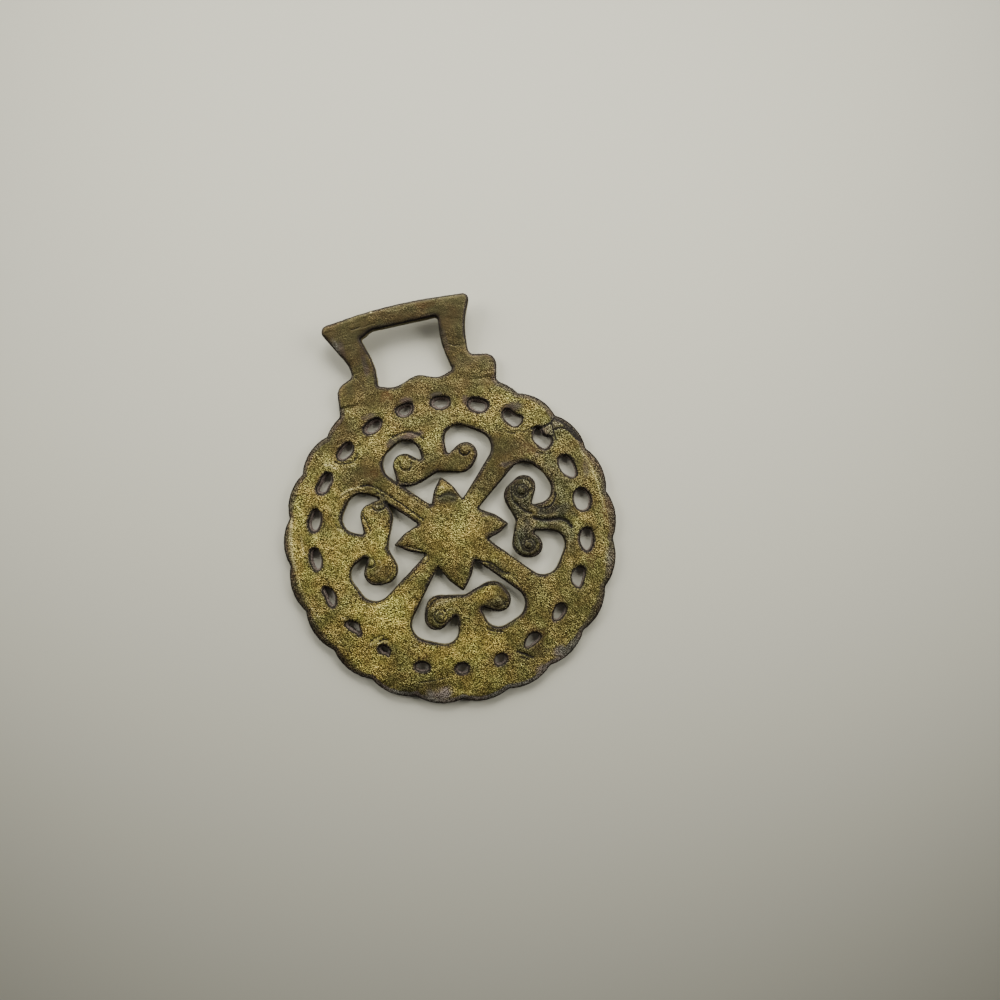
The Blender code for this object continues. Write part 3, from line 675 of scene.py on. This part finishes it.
# The lowest stretch of the rim band turns grey, a painted sheen on the slope.
keep("grey_crust_and_sheen", np.maximum(stained(GREY_CRUST_AND_SHEEN, 0.6), 0.85 * rim_band_patina_and_shade * lowermost))
keep("bruised", stained(BRUISES, 0.5))
keep("rusty", stained(RUST, 0.7))

brass = bpy.data.materials.new("old_cast_brass")
brass.use_nodes = True
nodes = brass.node_tree.nodes
links = brass.node_tree.links
shader = nodes["Principled BSDF"]
shader.inputs["Specular IOR Level"].default_value = 0.15
place = nodes.new("ShaderNodeTexCoord").outputs["Object"]


def mottle(size, detail=2.0, roughness=0.5, stretched=1.0):
    """Noise over the brass with features of a size, longer along X where it is stretched."""
    mapping = nodes.new("ShaderNodeMapping")
    mapping.inputs["Scale"].default_value = (1.0 / (size * stretched), 1.0 / size, 1.0 / size)
    if stretched == 1.0:
        mapping.inputs["Rotation"].default_value = (0.7, 0.5, 1.0 + size / MM)
    texture = nodes.new("ShaderNodeTexNoise")
    texture.inputs["Scale"].default_value = 1.0
    texture.inputs["Detail"].default_value = detail
    texture.inputs["Roughness"].default_value = roughness
    links.new(place, mapping.inputs["Vector"])
    links.new(mapping.outputs["Vector"], texture.inputs["Vector"])
    return texture.outputs["Fac"]


def kept(name):
    """A value that is kept for each vertex."""
    attribute = nodes.new("ShaderNodeAttribute")
    attribute.attribute_name = name
    return attribute.outputs["Fac"]


def reckoned(first, operation, second):
    """Two values put together, each a socket or a number."""
    node = nodes.new("ShaderNodeMath")
    node.operation = operation
    for socket, value in zip(node.inputs, (first, second)):
        if isinstance(value, bpy.types.NodeSocket):
            links.new(value, socket)
        else:
            socket.default_value = value
    return node.outputs["Value"]


def ramp(value, *stops):
    """A value turned into a colour, or into a number where the stops are numbers."""
    node = nodes.new("ShaderNodeValToRGB")
    while len(node.color_ramp.elements) < len(stops):
        node.color_ramp.elements.new(1.0)
    for element, (position, colour) in zip(node.color_ramp.elements, stops):
        element.position = position
        element.color = (*colour, 1.0) if isinstance(colour, tuple) else (colour, colour, colour, 1.0)
    links.new(value, node.inputs["Fac"])
    return node.outputs["Color"]


def laid_over(share, under, over, times=None):
    """One colour laid over another by a share, and then times a third, each a socket or a colour."""
    node = nodes.new("ShaderNodeMix")
    node.data_type = "RGBA"
    links.new(share, node.inputs["Factor"])
    for socket, colour in ((node.inputs[6], under), (node.inputs[7], over)):
        if isinstance(colour, bpy.types.NodeSocket):
            links.new(colour, socket)
        else:
            socket.default_value = (*colour, 1.0)
    if times is None:
        return node.outputs[2]
    product = nodes.new("ShaderNodeVectorMath")
    product.operation = "MULTIPLY"
    links.new(node.outputs[2], product.inputs[0])
    links.new(times, product.inputs[1])
    return product.outputs["Vector"]


HANGER_BROWN = (0.128, 0.106, 0.066)
BRUISE = (0.120, 0.095, 0.080)
RUST_BROWN = (0.150, 0.085, 0.042)
STREAK_BLACK = (0.035, 0.027, 0.012)
WARM_TINT = (1.06, 0.97, 0.92)
COOL_TINT = (0.95, 1.02, 0.96)
WORN_GOLD_HIGHLIGHT = (0.90, 0.79, 0.38)
OLD_DIRT_AND_SHADE = (0.008, 0.006, 0.005)
GRAIN_HEIGHT = 0.22 * MM

# The sizes of the patina's features, from the grain of the moulding sand to its broad patches.
grain = mottle(0.24 * MM, 0.0)
mid = mottle(0.80 * MM, 1.0)
blotches = mottle(3.5 * MM, 3.0, 0.6)
patches = mottle(5.0 * MM, 2.0, 0.6)
tints = ramp(mottle(4.0 * MM, 1.0), (0.36, 0.0), (0.64, 1.0))
streaks = mottle(0.40 * MM, 2.0, 0.6, 9.0)
rubbed_and_lit = reckoned(kept("rubbing_and_highlights"), "MULTIPLY", ramp(blotches, (0.30, 0.45), (0.60, 1.0)))
browned_and_shaded = reckoned(kept("browning_and_shade"), "MULTIPLY", ramp(blotches, (0.25, 1.0), (0.70, 0.65)))
tarnished_and_shaded = reckoned(kept("tarnish_and_shade"), "MULTIPLY", ramp(blotches, (0.20, 0.85), (0.55, 1.0)))

# How sandy the skin is: in patches, and less in the browned patches, some of which are painted shade, and on
# the hanger.
sandiness = ramp(patches, (0.38, 0.45), (0.58, 1.0))
sandiness = reckoned(sandiness, "MULTIPLY", ramp(browned_and_shaded, (0.2, 1.0), (0.8, 0.6)))
sandiness = reckoned(sandiness, "MULTIPLY", ramp(kept("hanger"), (0.0, 1.0), (1.0, 0.6)))

# The metal's light and dark specks, fainter where the skin is less sandy.
speckle = reckoned(reckoned(grain, "MULTIPLY", 0.86), "ADD", reckoned(mid, "MULTIPLY", 0.14))
speckle = reckoned(reckoned(reckoned(speckle, "SUBTRACT", 0.5), "MULTIPLY", sandiness), "ADD", 0.5)


def grained(pits, low, high, peaks):
    """The sandy grain in four colours, from its pits to its peaks."""
    return ramp(speckle, (0.415, pits), (0.478, low), (0.532, high), (0.605, peaks))


bright = grained((0.085, 0.067, 0.017), (0.235, 0.196, 0.056), (0.430, 0.365, 0.098), (0.980, 0.840, 0.240))
dull = grained((0.048, 0.039, 0.012), (0.127, 0.107, 0.037), (0.210, 0.180, 0.064), (0.500, 0.430, 0.155))
brown = grained((0.036, 0.028, 0.013), (0.076, 0.061, 0.030), (0.110, 0.089, 0.044), (0.210, 0.176, 0.092))
greened = grained((0.013, 0.012, 0.006), (0.050, 0.047, 0.026), (0.092, 0.087, 0.052), (0.205, 0.196, 0.133))
crust_and_sheen = grained((0.045, 0.038, 0.031), (0.105, 0.090, 0.077), (0.165, 0.145, 0.127), (0.320, 0.290, 0.255))
wall = grained((0.046, 0.038, 0.017), (0.088, 0.073, 0.034), (0.120, 0.100, 0.046), (0.200, 0.168, 0.078))
pierced = grained((0.070, 0.052, 0.043), (0.120, 0.094, 0.080), (0.160, 0.127, 0.110), (0.230, 0.190, 0.165))
mauve = grained((0.021, 0.016, 0.012), (0.048, 0.037, 0.029), (0.074, 0.059, 0.046), (0.135, 0.111, 0.086))

# How near the edges lie: a black line, then a bevel with soft dirt, then a brown border that is painted
# shade, darkening the sides of the arms and curls as if they were rounded.
edge_away = reckoned(kept("edge_away"), "ADD", ramp(grain, (0.30, -0.06), (0.70, 0.06)))
bevelled = reckoned(ramp(edge_away, (0.32, 0.90), (0.42, 0.0)), "MULTIPLY", kept("moulded"))
edge_shade = ramp(edge_away, (0.22, 0.55), (0.70, 0.0))

# The layers of the patina, from the bare metal to what lies on it, with painted highlights, sheen and shade
# laid in among them.
colour = laid_over(rubbed_and_lit, dull, bright)
colour = laid_over(browned_and_shaded, colour, brown)
colour = laid_over(tarnished_and_shaded, colour, greened)
# A brown border along every edge: painted shade that makes the arms and curls look rounded.
colour = laid_over(edge_shade, colour, brown)
colour = laid_over(reckoned(kept("hanger"), "MULTIPLY", 0.45), colour, HANGER_BROWN)
colour = laid_over(kept("bruised"), colour, BRUISE)
rusted = reckoned(kept("rusty"), "MULTIPLY", ramp(speckle, (0.44, 0.9), (0.58, 0.35)))
colour = laid_over(rusted, colour, RUST_BROWN)
colour = laid_over(bevelled, colour, mauve)
# The mauve rim band is partly patina and partly painted shade on the sloping rim.
colour = laid_over(reckoned(kept("rim_band_patina_and_shade"), "MULTIPLY", 0.85), colour, mauve)
colour = laid_over(kept("grey_crust_and_sheen"), colour, crust_and_sheen)
streaked = reckoned(kept("hanger"), "MULTIPLY", ramp(streaks, (0.50, 0.0), (0.66, 0.4)))
colour = laid_over(streaked, colour, STREAK_BLACK)
colour = laid_over(tints, WARM_TINT, COOL_TINT, colour)
# Worn ridges in rubbed gold, partly a painted highlight along their crests.
ridge_highlight = reckoned(kept("ridge_wear_and_highlight"), "MULTIPLY", ramp(grain, (0.36, 0.1), (0.56, 1.0)))
colour = laid_over(ridge_highlight, colour, WORN_GOLD_HIGHLIGHT)

# Black dirt in the cut lines, in the hollows and along the edges, with painted shade at the base of the
# star's top point, and duller walls.
line_away = reckoned(kept("cut_away"), "ADD", ramp(grain, (0.30, -0.08), (0.70, 0.08)))
creased = reckoned(ramp(line_away, (0.22, 1.0), (0.48, 0.0)), "MULTIPLY", kept("cut_dirt_and_shade"))
facing_up = ramp(kept("on_wall"), (0.0, 1.0), (1.0, 0.0))
outlined = reckoned(ramp(edge_away, (0.20, 1.0), (0.26, 0.0)), "MULTIPLY", facing_up)
dirt_and_shade = reckoned(reckoned(creased, "MAXIMUM", outlined), "MAXIMUM", kept("hollow_dirt"))
colour = laid_over(kept("on_wall"), colour, wall)
colour = laid_over(reckoned(kept("on_wall"), "MULTIPLY", kept("by_hole")), colour, pierced)
colour = laid_over(reckoned(dirt_and_shade, "MULTIPLY", 0.96), colour, OLD_DIRT_AND_SHADE)
links.new(colour, shader.inputs["Base Color"])

# Dirt and painted shade, the grey crust with its painted sheen, and the walls are matt, and the rest is
# metal.
mattness = reckoned(dirt_and_shade, "MAXIMUM", reckoned(kept("on_wall"), "MULTIPLY", 0.8))
mattness = reckoned(mattness, "MAXIMUM", reckoned(kept("grey_crust_and_sheen"), "MULTIPLY", 0.75))
links.new(ramp(mattness, (0.0, 1.0), (1.0, 0.0)), shader.inputs["Metallic"])
links.new(ramp(speckle, (0.40, 0.66), (0.64, 0.52)), shader.inputs["Roughness"])

# The grain stands up from the skin, and the cut lines lie a little under it.
relief = reckoned(reckoned(grain, "ADD", reckoned(mid, "MULTIPLY", 0.6)), "MULTIPLY", sandiness)
relief = reckoned(relief, "SUBTRACT", reckoned(creased, "MULTIPLY", 0.3))
bump = nodes.new("ShaderNodeBump")
bump.inputs["Strength"].default_value = 1.0
bump.inputs["Distance"].default_value = GRAIN_HEIGHT
links.new(relief, bump.inputs["Height"])
links.new(bump.outputs["Normal"], shader.inputs["Normal"])

casting.data.materials.clear()
casting.data.materials.append(brass)
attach(casting, "root")
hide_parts("horse_brass")

# ---------------------------------------------------------------------------------------------
# The table and the light: a plain pale board, lit from low beyond the hanger by three wide soft
# lamps that stand in an arc, as a broad window would light it.
# ---------------------------------------------------------------------------------------------

TABLE_REACH = 1.5
TABLE_GAP = 0.02 * MM
TABLE_WHITE = (0.60, 0.585, 0.480, 1.0)
LEAN = math.radians(12.5)
RIGHTWARD = Vector((math.cos(LEAN), -math.sin(LEAN), 0.0))
BEYOND = Vector((math.sin(LEAN), math.cos(LEAN), 0.0))
LAMP_AWAY = 0.30
LAMP_RISE = math.radians(26.0)
LAMP_SIZE = (0.32, 0.16)
LAMP_SPREAD = math.radians(60.0)
LAMP_POWER = 0.205
LAMP_BEARINGS = (-50.0, 5.0, 60.0)
LAMP_SHARES = (0.9, 1.4, 0.9)
LAMP_WHITE = (1.0, 0.99, 0.95)
LIT_MOST = BEYOND * 0.078
ROOM_LIGHT = 0.045
ROOM_WHITE = (0.97, 0.97, 1.0, 1.0)

board = bmesh.new()
bmesh.ops.create_grid(board, x_segments=1, y_segments=1, size=TABLE_REACH)
bmesh.ops.translate(board, verts=board.verts, vec=(0.0, 0.0, cad_low.z - TABLE_GAP))
table = bpy.data.objects.new("table", bpy.data.meshes.new("table"))
board.to_mesh(table.data)
board.free()
bpy.context.scene.collection.objects.link(table)
matt_white = bpy.data.materials.new("matt_white")
matt_white.use_nodes = True
paint = matt_white.node_tree.nodes["Principled BSDF"]
paint.inputs["Base Color"].default_value = TABLE_WHITE
paint.inputs["Roughness"].default_value = 0.75
table.data.materials.append(matt_white)

for number, (bearing, share) in enumerate(zip(LAMP_BEARINGS, LAMP_SHARES)):
    lamp = bpy.data.objects.new(f"soft_lamp_{number}", bpy.data.lights.new(f"soft_lamp_{number}", "AREA"))
    lamp.data.shape = "RECTANGLE"
    lamp.data.size, lamp.data.size_y = LAMP_SIZE
    lamp.data.spread = LAMP_SPREAD
    lamp.data.energy = LAMP_POWER * share
    lamp.data.color = LAMP_WHITE
    turn = math.radians(bearing)
    outward = RIGHTWARD * math.sin(turn) + BEYOND * math.cos(turn)
    lamp.location = (outward * math.cos(LAMP_RISE) + Vector((0.0, 0.0, math.sin(LAMP_RISE)))) * LAMP_AWAY
    lamp.rotation_euler = (LIT_MOST - lamp.location).to_track_quat("-Z", "Y").to_euler()
    bpy.context.scene.collection.objects.link(lamp)

world = bpy.data.worlds.new("room")
world.use_nodes = True
surroundings = world.node_tree.nodes["Background"]
surroundings.inputs["Color"].default_value = ROOM_WHITE
surroundings.inputs["Strength"].default_value = ROOM_LIGHT
bpy.context.scene.world = world

# ---------------------------------------------------------------------------------------------
# The view: straight down from a hand's length above, with the hanger leaning to the left.
# ---------------------------------------------------------------------------------------------

VIEW_FROM = (0.0136, 0.0061, 0.1820)

camera = bpy.data.objects.new("camera", bpy.data.cameras.new("camera"))
camera.data.lens = 27.0
camera.data.sensor_width = 36.0
camera.location = VIEW_FROM
camera.rotation_euler = (0.0, 0.0, -LEAN)
bpy.context.scene.collection.objects.link(camera)
bpy.context.scene.camera = camera
